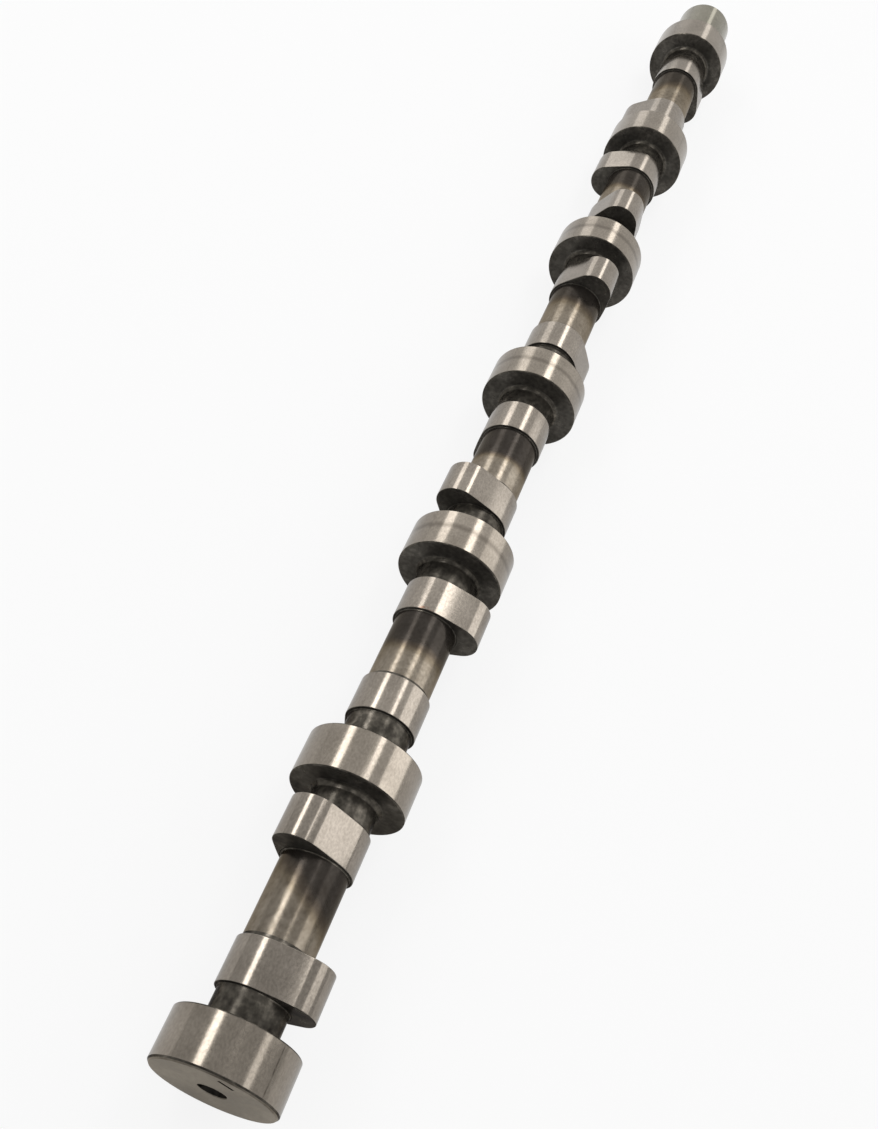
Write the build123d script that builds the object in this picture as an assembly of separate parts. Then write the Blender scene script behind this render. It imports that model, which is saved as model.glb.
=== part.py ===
from build123d import *
import os
from math import acos, cos, radians, sin, sqrt, tan

# Camshaft of an in-line six-cylinder engine: one solid, forged, turned and then
# ground. Seven main journals of one diameter, two cams between each pair of
# them, and the timing gear's seat on the front end.
#
# Millimetres. The shaft's axis is X, from the centre of the rear end face (the
# origin) to the gear seat, and Z is up. No cam stands out past the journals, so
# the shaft slides into the block's bores from the front, rear end first.

# --- driving dimensions -------------------------------------------------------

# main journals
journal_diameter = 60.0
journal_width = 24.5            # the five inner ones
rear_journal_width = 24.0
front_journal_width = 26.0
journal_edge = 0.5              # chamfer on the ground edges
rear_lead_in = 1.2              # larger chamfer on the end that goes in first
bay_length = 144.0              # from one journal's rear face to the next one's
rear_bay_shortfall = 3.5        # the rear bay is this much shorter
front_bay_excess = 5.0          # the front bay is this much longer

# cams
cam_width = 22.0
first_cam_gap = 18.0            # shaft between a journal and its bay's first cam
rear_cam_gap = 15.0             # the same in the rear bay
second_cam_gap = 14.5           # and between the second cam and the next journal
cam_base_diameter = 37.6        # the heel, on which the valve stays shut
cam_lift = 10.8
cam_nose_radius = 13.4
cam_flank_radius = 178.0

# timing, in degrees about +X from straight up
first_cam_angle = 69.0          # nose of the rearmost bay's first cam
second_cam_angle = -39.5        # and of its second cam
firing_step = 60.0              # half of the crankshaft's 120 degrees
firing_turns = [0, 4, 2, 5, 1, 3]   # steps to each bay's turn, rear to front

# shaft between the cams and journals
shaft_diameter = 34.0
journal_corner = 2.5            # cone left by the tool at a journal's foot

# front end, where the timing gear is pressed on over a half-round key
seat_diameter = 43.0
seat_length = 47.0
seat_edge = 1.5
seat_undercut_width = 3.0       # grinding relief against the front journal
seat_undercut_depth = 0.4
key_width = 8.0
key_cutter_diameter = 28.0
key_slot_depth = 8.0
key_setback = 26.0              # middle of the key, behind the front end
key_angle = 180.0

# centre holes, between which the shaft is turned and ground
centre_mouth_diameter = 14.0
centre_pilot_diameter = 6.3
centre_pilot_length = 16.0
centre_cone_angle = 60.0
drill_point_angle = 118.0

# --- places worked out from them ----------------------------------------------

bays = len(firing_turns)
journal_radius = journal_diameter / 2
shaft_radius = shaft_diameter / 2
seat_radius = seat_diameter / 2


def journal_start(index):
    """Rear face of a journal, counted from 0 at the rear."""
    if index == 0:
        return 0.0
    start = index * bay_length - rear_bay_shortfall
    if index == bays:
        start += front_bay_excess
    return start


def journal_length(index):
    if index == 0:
        return rear_journal_width
    if index == bays:
        return front_journal_width
    return journal_width


def first_cam_start(bay):
    """Each cam keeps its distance from the journal beside it, and the length
    between the two cams of a bay is what the bay leaves."""
    gap = rear_cam_gap if bay == 0 else first_cam_gap
    return journal_start(bay) + journal_length(bay) + gap


def second_cam_start(bay):
    return journal_start(bay + 1) - second_cam_gap - cam_width


seat_start = journal_start(bays) + front_journal_width
front_end = seat_start + seat_length

# --- shapes -------------------------------------------------------------------


def round_bar(start, length, diameter):
    """A cylinder about the X axis."""
    bar = Cylinder(diameter / 2, length, align=(Align.CENTER, Align.CENTER, Align.MIN))
    return Pos(start, 0, 0) * Rot(0, 90, 0) * bar


def rim_at(solid, x, radius):
    """The circular edges of one radius in the plane across the axis at x."""
    near = 0.01
    rims = solid.edges().filter_by(GeomType.CIRCLE)
    rims = rims.filter_by_position(Axis.X, x - near, x + near)
    return rims.filter_by(lambda rim: abs(rim.radius - radius) < near)


def journal(index):
    start = journal_start(index)
    end = start + journal_length(index)
    body = round_bar(start, end - start, journal_diameter)
    rear_edge = rear_lead_in if index == 0 else journal_edge
    body = chamfer(rim_at(body, start, journal_radius), rear_edge)
    return chamfer(rim_at(body, end, journal_radius), journal_edge)


def on_circle(centre, radius, angle):
    """A point at an angle, in radians from straight up, on a circle whose centre
    is a (sideways, up) pair."""
    return (centre[0] + radius * sin(angle), centre[1] + radius * cos(angle))


def cam_outline():
    """Nose up. The two flank arcs are tangent to the heel circle and to the nose
    circle, which both lie inside them."""
    heel_radius = cam_base_diameter / 2
    nose = (0.0, heel_radius + cam_lift - cam_nose_radius)
    to_heel = cam_flank_radius - heel_radius
    to_nose = cam_flank_radius - cam_nose_radius
    up = (to_heel**2 - to_nose**2 + nose[1] ** 2) / (2 * nose[1])
    flank = (-sqrt(to_heel**2 - up**2), up)
    at_heel = acos(-up / to_heel)
    at_nose = acos((nose[1] - up) / to_nose)
    heel_side = on_circle(flank, cam_flank_radius, at_heel)
    flank_middle = on_circle(flank, cam_flank_radius, (at_heel + at_nose) / 2)
    nose_side = on_circle(flank, cam_flank_radius, at_nose)

    def other(point):
        return (-point[0], point[1])

    bottom = (0.0, -heel_radius)
    top = (0.0, heel_radius + cam_lift)
    outline = Curve() + [
        ThreePointArc(heel_side, flank_middle, nose_side),
        ThreePointArc(nose_side, top, other(nose_side)),
        ThreePointArc(other(nose_side), other(flank_middle), other(heel_side)),
        ThreePointArc(other(heel_side), bottom, heel_side),
    ]
    return make_face(outline)


def cam(start, angle):
    outline = Plane.YZ.offset(start) * cam_outline()
    return Rot(angle, 0, 0) * extrude(outline, cam_width)


def seat():
    """Ends in the front journal, where a shallow relief lets the grinding wheel
    run out and the gear's hub seat square."""
    body = round_bar(seat_start, seat_length, seat_diameter)
    body = chamfer(rim_at(body, front_end, seat_radius), seat_edge)
    relief_diameter = seat_diameter - 2 * seat_undercut_depth
    relief = round_bar(seat_start, seat_undercut_width, 2 * seat_diameter)
    relief -= round_bar(seat_start, seat_undercut_width, relief_diameter)
    return body - relief


def key_slot():
    """A disc-shaped cutter's slot along the seat."""
    centre_height = seat_radius - key_slot_depth + key_cutter_diameter / 2
    cutter = Rot(90, 0, 0) * Cylinder(key_cutter_diameter / 2, key_width)
    return Rot(key_angle, 0, 0) * Pos(front_end - key_setback, 0, centre_height) * cutter


def centre_hole():
    """Cone and pilot, open at x = 0 and running towards +X."""
    mouth_radius = centre_mouth_diameter / 2
    pilot_radius = centre_pilot_diameter / 2
    cone_depth = (mouth_radius - pilot_radius) / tan(radians(centre_cone_angle / 2))
    drill_point = pilot_radius / tan(radians(drill_point_angle / 2))
    half_section = Polyline(
        (0, 0),
        (0, mouth_radius),
        (cone_depth, pilot_radius),
        (centre_pilot_length, pilot_radius),
        (centre_pilot_length + drill_point, 0),
        close=True,
    )
    return revolve(make_face(Plane.XY * half_section), Axis.X)


def camshaft():
    core_start = journal_edge + rear_lead_in
    core = round_bar(core_start, seat_start - core_start, shaft_diameter)
    parts = [journal(index) for index in range(bays + 1)]
    for bay in range(bays):
        turn = firing_step * firing_turns[bay]
        parts.append(cam(first_cam_start(bay), first_cam_angle - turn))
        parts.append(cam(second_cam_start(bay), second_cam_angle - turn))
    shaft = core + parts + seat()
    corners = ShapeList()
    for index in range(bays + 1):
        start = journal_start(index)
        corners += rim_at(shaft, start, shaft_radius)
        corners += rim_at(shaft, start + journal_length(index), shaft_radius)
    shaft = chamfer(corners, journal_corner)
    rear_hole = centre_hole()
    front_hole = Pos(front_end, 0, 0) * Rot(0, 0, 180) * centre_hole()
    return shaft - rear_hole - front_hole - key_slot()


os.makedirs("parts", exist_ok=True)
body = camshaft()
print("solids", len(body.solids()), "volume", body.volume, "box", body.bounding_box())
export_step(body, "parts/camshaft.step")
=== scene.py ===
from math import acos, cos, pi, radians, sin, sqrt, tan

import bmesh
import bpy
from mathutils import Matrix, Vector


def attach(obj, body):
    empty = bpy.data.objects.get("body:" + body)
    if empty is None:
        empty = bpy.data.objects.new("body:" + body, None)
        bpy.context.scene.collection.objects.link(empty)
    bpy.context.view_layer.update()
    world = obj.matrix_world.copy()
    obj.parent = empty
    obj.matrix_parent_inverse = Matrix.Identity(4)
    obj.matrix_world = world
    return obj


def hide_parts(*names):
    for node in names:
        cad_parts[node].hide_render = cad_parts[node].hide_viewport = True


# Camshaft of an in-line six, dressed. All that is turned about the axis is one
# mesh, and the twelve cams are another. The shaft lies along X with its rear end
# face at the origin. Its sizes are given in millimetres and its meshes are made in
# metres, and angles are in degrees. The studio round it is given in metres.

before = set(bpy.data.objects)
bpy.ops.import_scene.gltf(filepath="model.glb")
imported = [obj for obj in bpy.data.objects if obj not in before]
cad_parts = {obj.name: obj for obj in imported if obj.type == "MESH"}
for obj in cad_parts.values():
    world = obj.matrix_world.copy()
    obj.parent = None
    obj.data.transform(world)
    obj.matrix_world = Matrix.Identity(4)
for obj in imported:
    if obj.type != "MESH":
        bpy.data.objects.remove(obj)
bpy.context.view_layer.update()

MM = 0.001
X_AXIS = Vector((1, 0, 0))

# --- the shaft's sizes --------------------------------------------------------

JOURNAL = 30.0                  # radius
JOURNAL_EDGE = 0.5
REAR_LEAD_IN = 1.2
JOURNAL_REAR_FACES = (0.0, 140.5, 284.5, 428.5, 572.5, 716.5, 865.5)
JOURNAL_WIDTHS = (24.0, 24.5, 24.5, 24.5, 24.5, 24.5, 26.0)
JOURNAL_FILLET = 3.0
GROOVED_JOURNALS = (2, 3, 4)    # oil from the block has left a ring on them

CAM_WIDTH = 22.0
CAM_HEEL = 18.8                 # radius
CAM_LIFT = 10.8
CAM_NOSE = 13.4                 # radius
CAM_FLANK = 178.0               # radius
CAM_FILLET = 0.7
CAM_EDGE = 0.4
FIRST_CAMS = (39.0, 183.0, 327.0, 471.0, 615.0, 759.0)      # rear faces
SECOND_CAMS = (104.0, 248.0, 392.0, 536.0, 680.0, 829.0)
FIRST_CAM_ANGLE = 69.0          # of its nose, about +X from straight up
SECOND_CAM_ANGLE = -39.5
FIRING_STEP = 60.0
FIRING_TURNS = (0, 4, 2, 5, 1, 3)   # steps to each bay's turn, rear to front

SHAFT = 17.0                    # radius
STEP_IN_CAM = 0.3               # the shaft is this much thicker inside a cam
FOOT_SHADE_BAND = 2.0                 # painted shade: the shaft keeps the dark neck finish this far past a bay's first cam, darkening the corner at the cam's foot
# where the heat tint turns between each pair of cams: how far past the first, how
# much further on the +Y side, and the length over which it turns
TINTS = (
    (27.0, 11.0, 40.0), (21.5, 0.0, 24.0), (19.5, 0.0, 16.0),
    (24.0, 0.0, 36.0), (21.0, 2.0, 22.0), (26.0, -6.0, 48.0),
)

SEAT = 21.5                     # radius
SEAT_START = 891.5
SEAT_LENGTH = 47.0
SEAT_EDGE = 1.5
RELIEF_WIDTH = 3.0
RELIEF_DEPTH = 0.4
RELIEF_CORNER = 0.3
FRONT_END = SEAT_START + SEAT_LENGTH
KEY_WIDTH = 8.0
KEY_CUTTER = 14.0               # radius
KEY_DEPTH = 8.0
KEY_SETBACK = 26.0              # middle of the key, behind the front end

CENTRE_MOUTH = 7.0              # radius
CENTRE_CONE = 60.0              # degrees
CENTRE_PILOT = 3.15             # radius
CENTRE_DEPTH = 16.0
DRILL_POINT = 118.0             # degrees
CENTRE_RIM = 0.2                # worn bright by the lathe's centre
RIM_ROUNDING = 0.12

ROUNDING = 0.15                 # left on each edge that is turned or ground

# a nick that a tool has left in the rear end face, half as deep as its first size
NICK_SIZE = (2.0, 8.4, 2.0)
NICK_PLACE = (0.0, -4.0, 22.1)
NICK_TURN = 33.0                # about the axis

# --- mesh work ----------------------------------------------------------------

SHAFT_FACETS = 160              # round the axis
FILLET_STEPS = 8                # facets across a journal's fillet
ROUNDING_STEPS = 2              # and across every smaller corner
NOSE_STEPS, FLANK_STEPS, HEEL_STEPS = 22, 12, 30    # facets of half a cam
CAM_EDGE_STEPS = 3
KEY_CUTTER_FACETS = 72
SMOOTH_UP_TO = 42.0             # angle between two faces that are shaded as one

SAME_POINT = 1e-7               # metres
CLOSE = 0.01                    # places or radii nearer than this count as the same
SQUARE = 0.9                    # a face square to the axis has more of its normal on X
BLACK_EDGE = 0.5                # and a cam's edge is black from this much of it on

# the turned shaft's zones, each with its own finish
TURNED_ZONES = range(7)
GROUND, DARK, DARK_SIDE, TINTED, END_FACE, GEAR_SEAT, HOLE = TURNED_ZONES
# and the cams'
CAM_TRACK, CAM_SIDE = range(2)


def turned_outline():
    """Half section of everything that is round about the axis, from the bottom of
    the rear centre hole to the bottom of the front one: points (x, radius), each
    with the rounding of its corner."""
    cone_slope = tan(radians(CENTRE_CONE / 2))
    cone = (CENTRE_MOUTH - CENTRE_PILOT) / cone_slope
    tip = CENTRE_PILOT / tan(radians(DRILL_POINT / 2))
    hole = [
        (CENTRE_DEPTH + tip, 0.0, 0.0),
        (CENTRE_DEPTH, CENTRE_PILOT, 0.0),
        (cone, CENTRE_PILOT, 0.0),
        (CENTRE_RIM / cone_slope, CENTRE_MOUTH - CENTRE_RIM, 0.0),
        (0.0, CENTRE_MOUTH, RIM_ROUNDING),
    ]
    outline = list(hole)
    for index, (start, width) in enumerate(zip(JOURNAL_REAR_FACES, JOURNAL_WIDTHS)):
        end = start + width
        rear_edge = JOURNAL_EDGE if index else REAR_LEAD_IN
        if index:
            outline.append((start, SHAFT, JOURNAL_FILLET))
        outline += [
            (start, JOURNAL - rear_edge, ROUNDING),
            (start + rear_edge / 2, JOURNAL - rear_edge / 2, 0.0),
            (start + rear_edge, JOURNAL, ROUNDING),
            (end - JOURNAL_EDGE, JOURNAL, ROUNDING),
            (end, JOURNAL - JOURNAL_EDGE, ROUNDING),
        ]
        if index < len(FIRST_CAMS):
            outline.append((end, SHAFT, JOURNAL_FILLET))
            outline += cam_foot(FIRST_CAMS[index])
            # past the first cam the shaft stays in the dark finish for a short way: a
            # painted shade at the cam's foot
            outline.append((FIRST_CAMS[index] + CAM_WIDTH + FOOT_SHADE_BAND, SHAFT, 0.0))
            outline += cam_foot(SECOND_CAMS[index])
    relief = SEAT - RELIEF_DEPTH
    outline += [
        (SEAT_START, relief, RELIEF_CORNER),
        (SEAT_START + RELIEF_WIDTH, relief, 0.0),
        (SEAT_START + RELIEF_WIDTH + RELIEF_DEPTH, SEAT, 0.0),
        (FRONT_END - SEAT_EDGE, SEAT, ROUNDING),
        (FRONT_END, SEAT - SEAT_EDGE, ROUNDING),
    ]
    outline += [(FRONT_END - x, radius, corner) for x, radius, corner in reversed(hole)]
    return outline


def cam_foot(cam_start):
    """The shaft swells into both sides of a cam and runs on inside it."""
    inside = SHAFT + CAM_FILLET + STEP_IN_CAM
    cam_end = cam_start + CAM_WIDTH
    return [
        (cam_start, SHAFT, CAM_FILLET),
        (cam_start, inside, 0.0),
        (cam_end, inside, 0.0),
        (cam_end, SHAFT, CAM_FILLET),
    ]


def turned_shaft():
    """The outline with its corners rounded, spun about the axis."""
    bm = bmesh.new()
    corners = {}
    previous = None
    for x, radius, corner in turned_outline():
        vert = bm.verts.new((x * MM, 0, radius * MM))
        if previous:
            bm.edges.new((previous, vert))
        previous = vert
        if corner:
            corners.setdefault(corner, []).append(vert)
    for corner, verts in corners.items():
        steps = FILLET_STEPS if corner == JOURNAL_FILLET else ROUNDING_STEPS
        bmesh.ops.bevel(
            bm, geom=verts, affect="VERTICES", offset=corner * MM, segments=steps,
            profile=0.5, material=-1,
        )
    bmesh.ops.spin(
        bm, geom=bm.verts[:] + bm.edges[:], cent=(0, 0, 0), axis=X_AXIS, angle=2 * pi,
        steps=SHAFT_FACETS, use_merge=True,
    )
    bmesh.ops.remove_doubles(bm, verts=bm.verts[:], dist=SAME_POINT)
    bmesh.ops.recalc_face_normals(bm, faces=bm.faces[:])
    return bm


def mark_turned_shaft(bm):
    """Gives each face of the turned shaft the finish of its zone. Between two cams
    "coloured" rises from 0 to 1 as the tint turns, and on three of the journals
    "across" runs from 0 to 1 over the width."""
    for name in ("coloured", "across"):
        bm.verts.layers.float.new(name)
    coloured = bm.verts.layers.float["coloured"]
    across = bm.verts.layers.float["across"]
    for face in bm.faces:
        centre = face.calc_center_median() / MM
        radius = sqrt(centre.y**2 + centre.z**2)
        face.material_index = turned_zone(centre.x, radius, face.normal.x)
    for vert in bm.verts:
        x, y, z = vert.co / MM
        radius = sqrt(y**2 + z**2)
        for first, second, tint in zip(FIRST_CAMS, SECOND_CAMS, TINTS):
            middle, slant, spread = tint
            if first + CAM_WIDTH <= x <= second:
                past = x - first - CAM_WIDTH - middle - slant * y / radius
                vert[coloured] = 0.5 + past / spread
        for index in GROOVED_JOURNALS:
            start = JOURNAL_REAR_FACES[index]
            if start <= x <= start + JOURNAL_WIDTHS[index]:
                vert[across] = (x - start) / JOURNAL_WIDTHS[index]


def turned_zone(x, radius, facing):
    """The zone of a face, by the place of its middle and how far forward it
    faces."""
    # the centre holes take the hole finish, which is painted shade
    if radius < CENTRE_MOUTH - CENTRE_RIM:
        return HOLE
    if x > SEAT_START + CLOSE:
        return END_FACE if facing > SQUARE else GEAR_SEAT
    on_rear_end = x < REAR_LEAD_IN / 2 and radius < JOURNAL - REAR_LEAD_IN / 2
    behind_seat = x > SEAT_START - CLOSE and facing > SQUARE
    if on_rear_end or behind_seat:
        return END_FACE
    if radius > JOURNAL - CLOSE:
        return GROUND
    for first, second in zip(FIRST_CAMS, SECOND_CAMS):
        # the heat tint starts after the painted shade at the first cam's foot
        if first + CAM_WIDTH + FOOT_SHADE_BAND < x < second and radius < SHAFT + CLOSE:
            return TINTED
    return DARK_SIDE if abs(facing) > SQUARE else DARK


def cut_slot_and_nick(bm):
    """Cuts the half-round key's slot in the underside of the gear seat with a disc
    cutter, and the nick in the rear end face."""
    cutters = bmesh.new()
    bmesh.ops.create_cone(
        cutters, cap_ends=True, segments=KEY_CUTTER_FACETS, radius1=KEY_CUTTER * MM,
        radius2=KEY_CUTTER * MM, depth=KEY_WIDTH * MM,
    )
    height = -(SEAT - KEY_DEPTH + KEY_CUTTER) * MM
    turn = Matrix.Rotation(radians(90), 4, "X")
    move = Matrix.Translation(((FRONT_END - KEY_SETBACK) * MM, 0, height))
    bmesh.ops.transform(cutters, matrix=move @ turn, verts=cutters.verts[:])
    nick = bmesh.ops.create_cube(cutters, size=MM)["verts"]
    bmesh.ops.scale(cutters, verts=nick, vec=NICK_SIZE)
    turn = Matrix.Rotation(radians(NICK_TURN), 4, "X")
    move = Matrix.Translation([place * MM for place in NICK_PLACE])
    bmesh.ops.transform(cutters, matrix=move @ turn, verts=nick)
    # the walls of the slot and the nick take the hole finish, which is painted shade
    for face in cutters.faces:
        face.material_index = HOLE
    shaft = working_object("shaft before slotting", bm)
    tool = working_object("cutters", cutters)
    slot = shaft.modifiers.new("slot", "BOOLEAN")
    slot.operation = "DIFFERENCE"
    slot.solver = "EXACT"
    slot.object = tool
    slotted = bmesh.new()
    slotted.from_object(shaft, bpy.context.evaluated_depsgraph_get())
    for obj in (shaft, tool):
        mesh = obj.data
        bpy.data.objects.remove(obj)
        bpy.data.meshes.remove(mesh)
    return slotted


def working_object(name, bm):
    """Holds a mesh for the cut alone. Its empty material slots let the faces keep
    their zones."""
    mesh = bpy.data.meshes.new(name)
    bm.to_mesh(mesh)
    bm.free()
    for _ in TURNED_ZONES:
        mesh.materials.append(None)
    obj = bpy.data.objects.new(name, mesh)
    bpy.context.scene.collection.objects.link(obj)
    return obj


def cam_blank():
    """One cam on the axis, nose up, its rear side at x = 0. Its outline is swept a
    vertex at a time: half of the nose, a flank and half of the heel."""
    nose_height = CAM_HEEL + CAM_LIFT - CAM_NOSE
    to_heel = CAM_FLANK - CAM_HEEL
    to_nose = CAM_FLANK - CAM_NOSE
    flank_height = (to_heel**2 - to_nose**2 + nose_height**2) / (2 * nose_height)
    flank_side = sqrt(to_heel**2 - flank_height**2)
    at_nose = acos((nose_height - flank_height) / to_nose)
    at_heel = acos(-flank_height / to_heel)
    sweeps = [
        ((0, 0, nose_height), at_nose, NOSE_STEPS),
        ((0, flank_side, flank_height), at_heel - at_nose, FLANK_STEPS),
        ((0, 0, 0), pi - at_heel, HEEL_STEPS),
    ]
    bm = bmesh.new()
    end = bm.verts.new((0, 0, (nose_height + CAM_NOSE) * MM))
    for centre, angle, steps in sweeps:
        swept = bmesh.ops.spin(
            bm, geom=[end], cent=Vector(centre) * MM, axis=X_AXIS, angle=angle, steps=steps,
        )
        end = verts_of(swept["geom_last"])[0]
    bmesh.ops.mirror(
        bm, geom=bm.verts[:] + bm.edges[:], axis="Y", merge_dist=SAME_POINT,
    )
    bmesh.ops.remove_doubles(bm, verts=bm.verts[:], dist=SAME_POINT)
    side = bmesh.ops.contextual_create(bm, geom=bm.edges[:])["faces"]
    front = bmesh.ops.extrude_face_region(bm, geom=side, use_keep_orig=True)["geom"]
    bmesh.ops.translate(bm, verts=verts_of(front), vec=(CAM_WIDTH * MM, 0, 0))
    bmesh.ops.recalc_face_normals(bm, faces=bm.faces[:])
    rims = [e for e in bm.edges if abs(e.verts[0].co.x - e.verts[1].co.x) < SAME_POINT]
    bmesh.ops.bevel(
        bm, geom=rims, affect="EDGES", offset=CAM_EDGE * MM, segments=CAM_EDGE_STEPS,
        profile=0.5, material=-1,
    )
    for face in bm.faces:
        on_side = abs(face.normal.x) > BLACK_EDGE
        face.material_index = CAM_SIDE if on_side else CAM_TRACK
    return bm


def verts_of(geometry):
    return [element for element in geometry if isinstance(element, bmesh.types.BMVert)]


def cams():
    """All twelve, each turned to its place in the firing order."""
    blank = bpy.data.meshes.new("cam blank")
    blank_bm = cam_blank()
    blank_bm.to_mesh(blank)
    blank_bm.free()
    bm = bmesh.new()
    for bay, steps in enumerate(FIRING_TURNS):
        places = ((FIRST_CAMS, FIRST_CAM_ANGLE), (SECOND_CAMS, SECOND_CAM_ANGLE))
        for starts, angle in places:
            before = set(bm.verts)
            bm.from_mesh(blank)
            new = [vert for vert in bm.verts if vert not in before]
            turn = Matrix.Rotation(radians(angle - FIRING_STEP * steps), 4, "X")
            move = Matrix.Translation((starts[bay] * MM, 0, 0))
            bmesh.ops.transform(bm, matrix=move @ turn, verts=new)
    bpy.data.meshes.remove(blank)
    return bm


def finished(name, bm, finishes):
    """The mesh as a shown piece that rides on the shaft and stands for its solid.
    Bevels are smooth and the large flat and round faces keep their own shading."""
    mesh = bpy.data.meshes.new(name)
    bm.to_mesh(mesh)
    bm.free()
    for finish in finishes:
        mesh.materials.append(finish.material)
    piece = bpy.data.objects.new(name, mesh)
    bpy.context.scene.collection.objects.link(piece)
    for face in mesh.polygons:
        face.use_smooth = True
    mesh.set_sharp_from_angle(angle=radians(SMOOTH_UP_TO))
    weighted = piece.modifiers.new("large faces rule the shading", "WEIGHTED_NORMAL")
    weighted.keep_sharp = True
    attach(piece, "root")
    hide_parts("camshaft")


# --- finishes -----------------------------------------------------------------

MIX_SHARE, MIX_BELOW, MIX_ABOVE, MIX_RESULT = 0, 6, 7, 2    # a colour Mix's sockets
NOISE_LOW, NOISE_HIGH = 0.3, 0.7    # most of a noise lies between them
SPOT_FULL, SPOT_GONE = 0.7, 1.1     # where a spot's edge fades, by its half size
SKIN_STOPS = (0.0, 0.35, 0.65, 1.0)     # of the black skin's colours, darkest first


class Nodes:
    """Makes and joins the nodes of a material or of the world."""

    def __init__(self, tree):
        self.tree = tree

    def add(self, kind, **settings):
        node = self.tree.nodes.new(kind)
        for name, value in settings.items():
            setattr(node, name, value)
        return node

    def join(self, output, socket):
        self.tree.links.new(output, socket)

    def combine(self, operation, first, second):
        """`second` is another output or a number."""
        math = self.add("ShaderNodeMath", operation=operation)
        self.join(first, math.inputs[0])
        if isinstance(second, (int, float)):
            math.inputs[1].default_value = second
        else:
            self.join(second, math.inputs[1])
        return math.outputs["Value"]

    def between(self, value, start, end, low, high):
        """`value` from start to end, as low to high."""
        ranged = self.add("ShaderNodeMapRange")
        for name, number in (
            ("From Min", start), ("From Max", end), ("To Min", low), ("To Max", high),
        ):
            ranged.inputs[name].default_value = number
        self.join(value, ranged.inputs["Value"])
        return ranged.outputs["Result"]

    def ramp(self, value, stops):
        """`stops` are pairs of a place from 0 to 1 and a colour."""
        ramp = self.add("ShaderNodeValToRGB")
        points = ramp.color_ramp.elements
        while len(points) < len(stops):
            points.new(1.0)
        for point, (position, colour) in zip(points, stops):
            point.position = position
            point.color = (*colour, 1)
        self.join(value, ramp.inputs["Fac"])
        return ramp.outputs["Color"]

    def cover(self, share, below, colour):
        """A share of `colour` over what is below it."""
        mix = self.add("ShaderNodeMix", data_type="RGBA")
        self.join(share, mix.inputs[MIX_SHARE])
        self.join(below, mix.inputs[MIX_BELOW])
        mix.inputs[MIX_ABOVE].default_value = (*colour, 1)
        return mix.outputs[MIX_RESULT]


class Finish(Nodes):
    """A metal whose pattern follows the place on the piece."""

    def __init__(self, name):
        self.material = bpy.data.materials.new(name)
        self.material.use_nodes = True
        super().__init__(self.material.node_tree)
        self.shader = self.tree.nodes["Principled BSDF"]
        self.setting("Metallic", 1.0)
        self.place = self.add("ShaderNodeTexCoord").outputs["Object"]

    def setting(self, socket, value):
        self.shader.inputs[socket].default_value = value

    def feed(self, socket, output):
        self.join(output, self.shader.inputs[socket])

    def attribute(self, name):
        return self.add("ShaderNodeAttribute", attribute_name=name).outputs["Fac"]

    def noise(self, along, across=None, detail=5.0, shift=0.0):
        """Noise with `along` grains per metre on the shaft's axis, and over its
        section as many, or `across`."""
        across = across or along
        mapping = self.add("ShaderNodeMapping")
        mapping.inputs["Location"].default_value = (shift, shift, shift)
        mapping.inputs["Scale"].default_value = (along, across, across)
        self.join(self.place, mapping.inputs["Vector"])
        noise = self.add("ShaderNodeTexNoise")
        noise.inputs["Scale"].default_value = 1.0
        noise.inputs["Detail"].default_value = detail
        self.join(mapping.outputs["Vector"], noise.inputs["Vector"])
        return noise.outputs["Fac"]

    def swing(self, noise, low, high):
        """Noise as low to high."""
        return self.between(noise, NOISE_LOW, NOISE_HIGH, low, high)

    def mottle(self, clouds, grain, share, start=NOISE_LOW, end=NOISE_HIGH):
        """A shade from 0 to 1: a share of it is the clouds' noise from start to end,
        and the rest is the grain's."""
        return self.combine(
            "ADD",
            self.between(clouds, start, end, 0.0, share),
            self.swing(grain, 0.0, 1.0 - share),
        )

    def spot(self, centre, half, turn=0.0):
        """1 inside an oval of half sizes `half` at `centre`, turned about X, and 0
        outside it, with a soft edge."""
        mapping = self.add("ShaderNodeMapping", vector_type="TEXTURE")
        mapping.inputs["Location"].default_value = Vector(centre) * MM
        mapping.inputs["Rotation"].default_value = (radians(turn), 0, 0)
        mapping.inputs["Scale"].default_value = Vector(half) * MM
        self.join(self.place, mapping.inputs["Vector"])
        length = self.add("ShaderNodeVectorMath", operation="LENGTH")
        self.join(mapping.outputs["Vector"], length.inputs[0])
        return self.between(length.outputs["Value"], SPOT_FULL, SPOT_GONE, 1.0, 0.0)

    def product(self, first, second):
        """One colour seen through another."""
        mix = self.add("ShaderNodeMix", data_type="RGBA", blend_type="MULTIPLY")
        mix.inputs[MIX_SHARE].default_value = 1.0
        self.join(first, mix.inputs[MIX_BELOW])
        self.join(second, mix.inputs[MIX_ABOVE])
        return mix.outputs[MIX_RESULT]

    def relief(self, height, depth):
        """`depth` in millimetres."""
        bump = self.add("ShaderNodeBump")
        bump.inputs["Distance"].default_value = depth * MM
        self.join(height, bump.inputs["Height"])
        self.feed("Normal", bump.outputs["Normal"])


def ground_finish(name, dark, light):
    """Fine wheel marks round the shaft over faint clouding. The steel's colour comes
    with it, for what lies on the steel."""
    finish = Finish(name)
    marks = finish.noise(2400, 25, detail=2.0)
    clouds = finish.noise(60, detail=4.0)
    grain = finish.noise(600, 900)
    steel = finish.ramp(finish.mottle(clouds, grain, 0.45), [(0.0, dark), (1.0, light)])
    finish.feed("Roughness", finish.between(marks, 0.25, 0.75, 0.12, 0.19))
    finish.relief(marks, 0.002)
    return finish, steel


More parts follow.
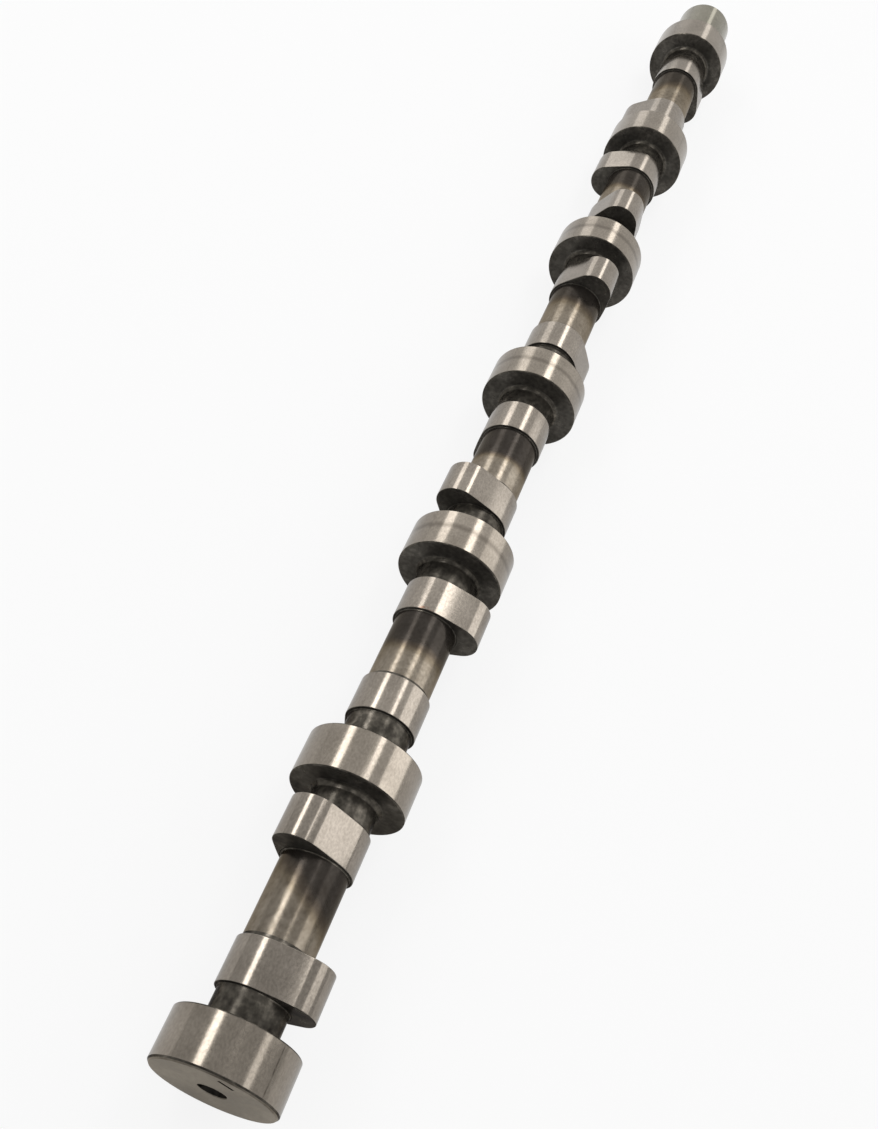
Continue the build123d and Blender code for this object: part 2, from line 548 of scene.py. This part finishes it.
def journal_finish():
    """Ground, with a dull brown ring where the oil groove of a bearing ran and a
    dark line drawn along the rear journal."""
    finish, steel = ground_finish(
        "ground journals", dark=(0.216, 0.188, 0.155), light=(0.356, 0.314, 0.264),
    )
    brown = (0.110, 0.093, 0.075)
    waver = finish.between(finish.noise(30, 120, detail=3.0), 0.2, 0.8, -0.04, 0.04)
    place = finish.combine("ADD", finish.attribute("across"), waver)
    strongest = 0.55
    ring = finish.combine(
        "SUBTRACT",
        finish.between(place, 0.44, 0.53, 0.0, strongest),
        finish.between(place, 0.56, 0.66, 0.0, strongest),
    )
    ringed = finish.cover(ring, steel, brown)
    line = finish.spot(centre=(12.0, -19.3, 23.0), half=(13.0, 0.5, 0.5))
    broken = finish.between(finish.noise(300, detail=3.0), 0.35, 0.55, 0.2, 0.8)
    line_share = finish.combine("MULTIPLY", line, broken)
    finish.feed("Base Color", finish.cover(line_share, ringed, brown))
    return finish


def cam_finish():
    """Ground, with a touch of rust on the edge of one cam."""
    finish, steel = ground_finish(
        "ground cam tracks", dark=(0.206, 0.180, 0.151), light=(0.360, 0.319, 0.272),
    )
    rust = (0.24, 0.135, 0.088)
    touch = finish.spot(centre=(248.5, 5.0, 18.5), half=(1.6, 6.0, 3.0), turn=20)
    broken = finish.between(finish.noise(500, detail=3.0), 0.42, 0.58, 0.0, 0.8)
    rust_share = finish.combine("MULTIPLY", touch, broken)
    finish.feed("Base Color", finish.cover(rust_share, steel, rust))
    return finish


def seat_finish():
    finish, steel = ground_finish(
        "ground gear seat", dark=(0.205, 0.190, 0.148), light=(0.325, 0.304, 0.244),
    )
    finish.feed("Base Color", steel)
    return finish


def dark_finish(name, colours, dull, glossy):
    """Blackened skin: from the darkest to where it is rubbed to grey, and as rough as
    `dull` to `glossy`. It shines less than bare metal at a grazing angle."""
    finish = Finish(name)
    clouds = finish.noise(75, shift=0.4)
    grain = finish.noise(380)
    shade = finish.mottle(clouds, grain, 0.5, start=0.34, end=0.68)
    finish.feed("Base Color", finish.ramp(shade, list(zip(SKIN_STOPS, colours))))
    finish.feed("Roughness", finish.swing(clouds, dull, glossy))
    finish.setting("Metallic", 0.6)
    finish.setting("Specular IOR Level", 0.05)
    finish.setting("Specular Tint", (0.30, 0.28, 0.255, 1))
    finish.relief(grain, 0.012)
    return finish


def dark_neck_finish():
    colours = [
        (0.024, 0.021, 0.018), (0.060, 0.054, 0.045),
        (0.106, 0.095, 0.079), (0.235, 0.208, 0.173),
    ]
    return dark_finish("blackened necks", colours, dull=0.27, glossy=0.15)


def dark_side_finish():
    colours = [
        (0.043, 0.040, 0.035), (0.074, 0.068, 0.059),
        (0.108, 0.100, 0.087), (0.175, 0.161, 0.140),
    ]
    return dark_finish("blackened sides", colours, dull=0.36, glossy=0.24)


def tinted_finish():
    """Turned shaft between two cams: bare beside the first, then straw, brown and
    blue-black towards the second, where heat has coloured it."""
    finish = Finish("heat tinted steel")
    drift = finish.swing(finish.noise(38), -0.08, 0.08)
    heat = finish.combine("ADD", finish.attribute("coloured"), drift)
    tint = finish.ramp(
        heat,
        [
            (0.0, (0.259, 0.226, 0.185)),
            (0.30, (0.231, 0.198, 0.157)),
            (0.42, (0.160, 0.132, 0.097)),
            (0.52, (0.091, 0.074, 0.058)),
            (0.64, (0.053, 0.046, 0.040)),
            (0.90, (0.048, 0.042, 0.037)),
        ],
    )
    blotches = finish.ramp(
        finish.mottle(finish.noise(70, shift=2.1), finish.noise(450, shift=0.7), 0.5),
        [(0.1, (0.66, 0.64, 0.61)), (0.8, (1.08, 1.08, 1.07))],
    )
    finish.feed("Base Color", finish.product(tint, blotches))
    finish.feed("Metallic", finish.between(heat, 0.45, 0.75, 1.0, 0.6))
    finish.feed("Roughness", finish.swing(finish.noise(160, detail=4.0), 0.16, 0.27))
    finish.setting("Specular IOR Level", 0.05)
    finish.setting("Specular Tint", (0.72, 0.67, 0.60, 1))
    finish.relief(finish.noise(1300, 25, detail=2.0, shift=1.3), 0.0015)
    return finish


def end_finish():
    """Faced off square, then dulled by handling."""
    finish = Finish("faced end")
    clouds = finish.noise(42, shift=0.9)
    grain = finish.noise(700, 500)
    steel = finish.ramp(
        finish.mottle(clouds, grain, 0.7, start=0.41, end=0.59),
        [
            (0.0, (0.105, 0.091, 0.072)),
            (0.5, (0.188, 0.167, 0.137)),
            (1.0, (0.290, 0.263, 0.222)),
        ],
    )
    finish.feed("Base Color", steel)
    finish.feed("Roughness", finish.swing(clouds, 0.26, 0.44))
    finish.setting("Specular Tint", (0.88, 0.83, 0.76, 1))
    finish.relief(grain, 0.02)
    return finish


def hole_finish():
    """Near black in the centre holes, the slot and the nick: painted shade in these hollows,
    with a dull dark reflection.
    """
    finish = Finish("painted shade in hollows")
    clouds = finish.noise(400, detail=3.0)
    hollow_shade = finish.ramp(clouds, [(0.3, (0.010, 0.009, 0.008)), (0.7, (0.03, 0.027, 0.024))])
    finish.feed("Base Color", hollow_shade)
    finish.feed("Roughness", finish.swing(clouds, 0.35, 0.6))
    finish.setting("Specular Tint", (0.06, 0.05, 0.04, 1))
    return finish


# --- floor, light and camera --------------------------------------------------

SHAFT_MIDDLE = 0.47             # metres along X
FLOOR_HALF = 6.0
FLOOR_PAINT = 0.75
FAR_FLOOR = 0.913               # how the floor looks far off
# the world's brightness, from straight behind the shaft (-1) to straight ahead (1)
WORLD_LEVELS = (
    (-1.0, 0.176), (-0.3, 0.399), (0.0, 0.476), (0.37, 0.587), (0.46, 0.854), (0.62, 1.0),
    (0.95, 0.787),
)

LAMP_DISTANCE = 1.2             # metres, from the shaft's axis
# each lamp's name, start and end as (x, side), width, and brightness, where 1 is white
LAMPS = (
    ("right strip, rear", (0.10, 38), (0.50, 41), 0.27, 4.00),
    ("right strip", (0.50, 46), (1.05, 47), 0.27, 4.00),
    ("right strip, front", (1.12, 52), (1.66, 52), 0.42, 2.12),
    ("right panel", (1.66, 57), (2.9, 57), 0.58, 0.85),
    ("middle strip, rear", (0.36, -7), (0.68, -7), 0.12, 2.12),
    ("middle strip, short", (0.68, -15), (0.95, -15), 0.20, 3.25),
    ("middle strip", (0.95, -11), (2.0, -9), 0.30, 3.60),
    ("middle strip, front", (2.0, -12), (2.45, -12), 0.30, 2.60),
    ("middle strip, far front", (2.45, -14), (3.6, -12), 0.32, 1.35),
    ("left panel, rear", (0.12, -46), (0.34, -46), 0.25, 1.30),
    ("left panel, small", (0.34, -58), (0.58, -58), 0.64, 1.15),
    ("left panel", (0.58, -63), (0.85, -63), 0.92, 1.60),
    ("left panel, middle", (0.85, -63), (1.15, -63), 0.92, 1.15),
    ("left panel, front", (1.15, -63), (1.6, -63), 0.92, 0.85),
    ("right strip, behind", (-1.5, 46), (0.10, 39), 0.27, 1.60),
    ("middle strip, behind", (-1.5, -12), (0.10, -9), 0.25, 1.25),
    ("left panel, behind", (-1.5, -60), (0.05, -56), 0.70, 0.55),
)


def pale_share(nodes, seen, reflected):
    """A share of white for what looks straight at the floor or the world, and
    another for what sees them in metal or through glass."""
    rays = nodes.add("ShaderNodeLightPath").outputs
    mirror = nodes.combine("MAXIMUM", rays["Is Glossy Ray"], rays["Is Transmission Ray"])
    in_metal = nodes.combine("MULTIPLY", mirror, reflected)
    in_view = nodes.combine("MULTIPLY", rays["Is Camera Ray"], seen)
    return nodes.combine("MAXIMUM", in_metal, in_view)


def floor():
    """A pale floor under the journals. What looks at it sees it paler still than it
    is lit, and it keeps the shaft's shadow."""
    bm = bmesh.new()
    bmesh.ops.create_grid(bm, x_segments=1, y_segments=1, size=FLOOR_HALF)
    bmesh.ops.translate(bm, verts=bm.verts[:], vec=(SHAFT_MIDDLE, 0, -JOURNAL * MM))
    mesh = bpy.data.meshes.new("floor")
    bm.to_mesh(mesh)
    bm.free()
    material = bpy.data.materials.new("pale floor")
    material.use_nodes = True
    nodes = Nodes(material.node_tree)
    paint = nodes.tree.nodes["Principled BSDF"]
    paint.inputs["Base Color"].default_value = (FLOOR_PAINT, FLOOR_PAINT, FLOOR_PAINT, 1)
    paint.inputs["Roughness"].default_value = 0.8
    paint.inputs["Specular IOR Level"].default_value = 0.0
    glow = nodes.add("ShaderNodeEmission")
    mix = nodes.add("ShaderNodeMixShader")
    nodes.join(pale_share(nodes, seen=0.85, reflected=0.3), mix.inputs[0])
    nodes.join(paint.outputs["BSDF"], mix.inputs[1])
    nodes.join(glow.outputs["Emission"], mix.inputs[2])
    nodes.join(mix.outputs["Shader"], nodes.tree.nodes["Material Output"].inputs["Surface"])
    mesh.materials.append(material)
    obj = bpy.data.objects.new("floor", mesh)
    bpy.context.scene.collection.objects.link(obj)


def studio_world():
    """Soft grey all round, paler ahead of the shaft than behind it. What looks at it
    straight sees the floor's pale shade run on, and metal reflects a share of that."""
    world = bpy.data.worlds.new("studio")
    world.use_nodes = True
    nodes = Nodes(world.node_tree)
    direction = nodes.add("ShaderNodeTexCoord").outputs["Generated"]
    parts = nodes.add("ShaderNodeSeparateXYZ")
    nodes.join(direction, parts.inputs["Vector"])
    forward = nodes.between(parts.outputs["X"], -1.0, 1.0, 0.0, 1.0)
    grey = nodes.ramp(
        forward, [((ahead + 1) / 2, (level, level, level)) for ahead, level in WORLD_LEVELS]
    )
    share = pale_share(nodes, seen=1.0, reflected=0.1)
    backdrop = nodes.cover(share, grey, (FAR_FLOOR, FAR_FLOOR, FAR_FLOOR))
    nodes.join(backdrop, nodes.tree.nodes["Background"].inputs["Color"])
    bpy.context.scene.world = world


def above_shaft(x, side):
    """A place for a lamp, `side` degrees from straight up towards +Y."""
    angle = radians(side)
    return Vector((x, LAMP_DISTANCE * sin(angle), LAMP_DISTANCE * cos(angle)))


def soft_light(name, start, end, width, brightness):
    """A flat strip from one (x, side) to another, facing the shaft."""
    first, last = above_shaft(*start), above_shaft(*end)
    centre = (first + last) / 2
    length = (last - first).length
    data = bpy.data.lights.new(name, "AREA")
    data.shape = "RECTANGLE"
    data.size = width
    data.size_y = length
    data.energy = brightness * pi * width * length
    lamp = bpy.data.objects.new(name, data)
    bpy.context.scene.collection.objects.link(lamp)
    along = (last - first).normalized()
    away = Vector((0, centre.y, centre.z))
    away = (away - away.project(along)).normalized()
    across = along.cross(away)
    facing = Matrix((across, along, away)).transposed().to_4x4()
    lamp.matrix_world = Matrix.Translation(centre) @ facing
    lamp.visible_camera = False


def camera():
    """Close above the rear end, looking along the shaft."""
    data = bpy.data.cameras.new("camera")
    data.sensor_width = 36.0
    data.lens = 37.943
    data.clip_start = 0.01
    data.clip_end = 50.0
    viewer = bpy.data.objects.new("camera", data)
    viewer.location = (-0.09763, 0, 0.53241)
    viewer.rotation_euler = (radians(33.7522), radians(-13.7842), radians(-69.1508))
    bpy.context.scene.collection.objects.link(viewer)
    bpy.context.scene.camera = viewer


# --- the scene ----------------------------------------------------------------

dark_side = dark_side_finish()

turned = turned_shaft()
mark_turned_shaft(turned)
turned_finishes = {
    GROUND: journal_finish(),
    DARK: dark_neck_finish(),
    DARK_SIDE: dark_side,
    TINTED: tinted_finish(),
    END_FACE: end_finish(),
    GEAR_SEAT: seat_finish(),
    HOLE: hole_finish(),
}
finished(
    "camshaft_turned", cut_slot_and_nick(turned),
    [turned_finishes[zone] for zone in TURNED_ZONES],
)
finished("camshaft_cams", cams(), [cam_finish(), dark_side])

floor()
for lamp in LAMPS:
    soft_light(*lamp)
studio_world()
camera()

bpy.context.scene.view_settings.view_transform = "Standard"
